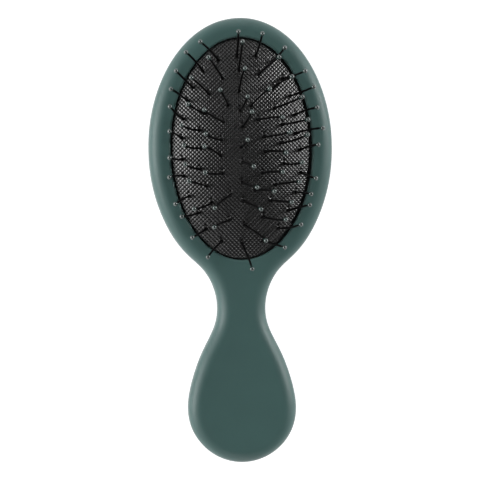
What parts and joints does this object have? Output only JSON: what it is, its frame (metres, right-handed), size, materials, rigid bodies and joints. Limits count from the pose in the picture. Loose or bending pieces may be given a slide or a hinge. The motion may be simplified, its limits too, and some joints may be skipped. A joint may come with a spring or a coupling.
{
  "type": "detangling brush",
  "caption": "Small paddle hair brush with an oval head, a domed textile cushion carrying splayed ball-tipped bristles, and a short pear-shaped handle, for detangling hair.",
  "frame": {"origin": "middle of the brush's length and width, on the flat back", "axes": "+Z out of the back through the bristles, +Y from the handle towards the tip of the head, +X across the brush"},
  "size_m": [0.0598, 0.145, 0.0373],
  "materials": {
    "body": "soft-touch matte, dark green",
    "plate": "moulded, black",
    "ring": "satin, black",
    "rubber": "matt, black",
    "textile": "plain weave, charcoal and black",
    "pin": "smooth nylon, black",
    "ball": "glossy, dark green"
  },
  "bodies": {
    "handle": {"front_shell": "body", "back_shell": "body", "carrier_plate": "plate", "retaining_ring": "ring", "cushion_rubber": "rubber", "cushion_fabric": "textile"},
    "pad_core": {"root_strip_core": "rubber"},
    "pad_third": {"root_strip_third": "rubber"},
    "pad_second": {"root_strip_second": "rubber"},
    "pad_outer": {"root_strip_outer": "rubber"},
    "pins_outer_mid": {"bristles_outer_mid": "pin", "tips_outer_mid": "ball"},
    "pins_outer_right1": {"bristles_outer_right1": "pin", "tips_outer_right1": "ball"},
    "pins_outer_right2": {"bristles_outer_right2": "pin", "tips_outer_right2": "ball"},
    "pins_outer_right3": {"bristles_outer_right3": "pin", "tips_outer_right3": "ball"},
    "pins_outer_left1": {"bristles_outer_left1": "pin", "tips_outer_left1": "ball"},
    "pins_outer_left2": {"bristles_outer_left2": "pin", "tips_outer_left2": "ball"},
    "pins_outer_left3": {"bristles_outer_left3": "pin", "tips_outer_left3": "ball"},
    "pins_second_mid": {"bristles_second_mid": "pin", "tips_second_mid": "ball"},
    "pins_second_right1": {"bristles_second_right1": "pin", "tips_second_right1": "ball"},
    "pins_second_right2": {"bristles_second_right2": "pin", "tips_second_right2": "ball"},
    "pins_second_left1": {"bristles_second_left1": "pin", "tips_second_left1": "ball"},
    "pins_second_left2": {"bristles_second_left2": "pin", "tips_second_left2": "ball"},
    "pins_third_mid": {"bristles_third_mid": "pin", "tips_third_mid": "ball"},
    "pins_third_right1": {"bristles_third_right1": "pin", "tips_third_right1": "ball"},
    "pins_third_left1": {"bristles_third_left1": "pin", "tips_third_left1": "ball"},
    "pins_core_mid": {"bristles_core_mid": "pin", "tips_core_mid": "ball"}
  },
  "joints": [
    {"name": "cushion_press", "type": "slide", "parent": "handle", "child": "pad_core", "axis": [0, 0, -1], "range_m": [0, 0.0022], "stiffness_N_per_m": 2000, "deforming": ["cushion_rubber", "cushion_fabric"]},
    {"name": "press_third", "type": "slide", "parent": "handle", "child": "pad_third", "axis": [0, 0, -1], "range_m": [0, 0.00196]},
    {"name": "press_second", "type": "slide", "parent": "handle", "child": "pad_second", "axis": [0, 0, -1], "range_m": [0, 0.00134]},
    {"name": "press_outer", "type": "slide", "parent": "handle", "child": "pad_outer", "axis": [0, 0, -1], "range_m": [0, 0.0005355]},
    {"name": "flex_outer_mid", "type": "hinge", "parent": "pad_outer", "child": "pins_outer_mid", "pos_m": [-0.00074, 0.00046, 0.01357], "axis": [0, 1, 0], "range_deg": [-12, 12], "stiffness_Nm_per_rad": 0.006},
    {"name": "flex_outer_right1", "type": "hinge", "parent": "pad_outer", "child": "pins_outer_right1", "pos_m": [0.00462, 0.05861, 0.01359], "axis": [0, 1, 0], "range_deg": [-12, 12], "stiffness_Nm_per_rad": 0.006},
    {"name": "flex_outer_right2", "type": "hinge", "parent": "pad_outer", "child": "pins_outer_right2", "pos_m": [0.01053, 0.00361, 0.01325], "axis": [0, 1, 0], "range_deg": [-12, 12], "stiffness_Nm_per_rad": 0.009},
    {"name": "flex_right_outer", "type": "hinge", "parent": "pad_outer", "child": "pins_outer_right3", "pos_m": [0.01616, 0.0402, 0.01409], "axis": [0, 1, 0], "range_deg": [-12, 12], "stiffness_Nm_per_rad": 0.021},
    {"name": "flex_outer_left1", "type": "hinge", "parent": "pad_outer", "child": "pins_outer_left1", "pos_m": [-0.00583, 0.00049, 0.01317], "axis": [0, 1, 0], "range_deg": [-12, 12], "stiffness_Nm_per_rad": 0.006},
    {"name": "flex_outer_left2", "type": "hinge", "parent": "pad_outer", "child": "pins_outer_left2", "pos_m": [-0.01122, 0.0538, 0.01326], "axis": [0, 1, 0], "range_deg": [-12, 12], "stiffness_Nm_per_rad": 0.009},
    {"name": "flex_left_outer", "type": "hinge", "parent": "pad_outer", "child": "pins_outer_left3", "pos_m": [-0.01809, 0.0209, 0.01338], "axis": [0, 1, 0], "range_deg": [-12, 12], "stiffness_Nm_per_rad": 0.021},
    {"name": "flex_second_mid", "type": "hinge", "parent": "pad_second", "child": "pins_second_mid", "pos_m": [-0.00057, 0.00561, 0.01533], "axis": [0, 1, 0], "range_deg": [-12, 12], "stiffness_Nm_per_rad": 0.006},
    {"name": "flex_second_right1", "type": "hinge", "parent": "pad_second", "child": "pins_second_right1", "pos_m": [0.0045, 0.05286, 0.01524], "axis": [0, 1, 0], "range_deg": [-12, 12], "stiffness_Nm_per_rad": 0.006},
    {"name": "flex_right", "type": "hinge", "parent": "pad_second", "child": "pins_second_right2", "pos_m": [0.00932, 0.01779, 0.01648], "axis": [0, 1, 0], "range_deg": [-12, 12], "stiffness_Nm_per_rad": 0.021},
    {"name": "flex_second_left1", "type": "hinge", "parent": "pad_second", "child": "pins_second_left1", "pos_m": [-0.00326, 0.00679, 0.01553], "axis": [0, 1, 0], "range_deg": [-12, 12], "stiffness_Nm_per_rad": 0.006},
    {"name": "flex_left", "type": "hinge", "parent": "pad_second", "child": "pins_second_left2", "pos_m": [-0.01109, 0.04057, 0.01604], "axis": [0, 1, 0], "range_deg": [-12, 12], "stiffness_Nm_per_rad": 0.021},
    {"name": "flex_third_mid", "type": "hinge", "parent": "pad_third", "child": "pins_third_mid", "pos_m": [-0.00116, 0.04694, 0.01692], "axis": [0, 1, 0], "range_deg": [-12, 12], "stiffness_Nm_per_rad": 0.006},
    {"name": "flex_third_right1", "type": "hinge", "parent": "pad_third", "child": "pins_third_right1", "pos_m": [0.0038, 0.03888, 0.01796], "axis": [0, 1, 0], "range_deg": [-12, 12], "stiffness_Nm_per_rad": 0.018},
    {"name": "flex_third_left1", "type": "hinge", "parent": "pad_third", "child": "pins_third_left1", "pos_m": [-0.0049, 0.03771, 0.01783], "axis": [0, 1, 0], "range_deg": [-12, 12], "stiffness_Nm_per_rad": 0.018},
    {"name": "flex_mid", "type": "hinge", "parent": "pad_core", "child": "pins_core_mid", "pos_m": [-0.00059, 0.02526, 0.01862], "axis": [0, 1, 0], "range_deg": [-12, 12], "stiffness_Nm_per_rad": 0.015}
  ],
  "couplings": [
    {"joint": "press_third", "follows": "cushion_press", "ratio": 0.89213},
    {"joint": "press_second", "follows": "cushion_press", "ratio": 0.606},
    {"joint": "press_outer", "follows": "cushion_press", "ratio": 0.24251},
    {"joint": "flex_outer_mid", "follows": "flex_mid", "ratio": 1},
    {"joint": "flex_outer_right1", "follows": "flex_right", "ratio": 1},
    {"joint": "flex_outer_right2", "follows": "flex_right", "ratio": 1},
    {"joint": "flex_outer_left1", "follows": "flex_left", "ratio": 1},
    {"joint": "flex_outer_left2", "follows": "flex_left", "ratio": 1},
    {"joint": "flex_second_mid", "follows": "flex_mid", "ratio": 1},
    {"joint": "flex_second_right1", "follows": "flex_right", "ratio": 1},
    {"joint": "flex_second_left1", "follows": "flex_left", "ratio": 1},
    {"joint": "flex_third_mid", "follows": "flex_mid", "ratio": 1},
    {"joint": "flex_third_right1", "follows": "flex_right", "ratio": 1},
    {"joint": "flex_third_left1", "follows": "flex_left", "ratio": 1}
  ]
}
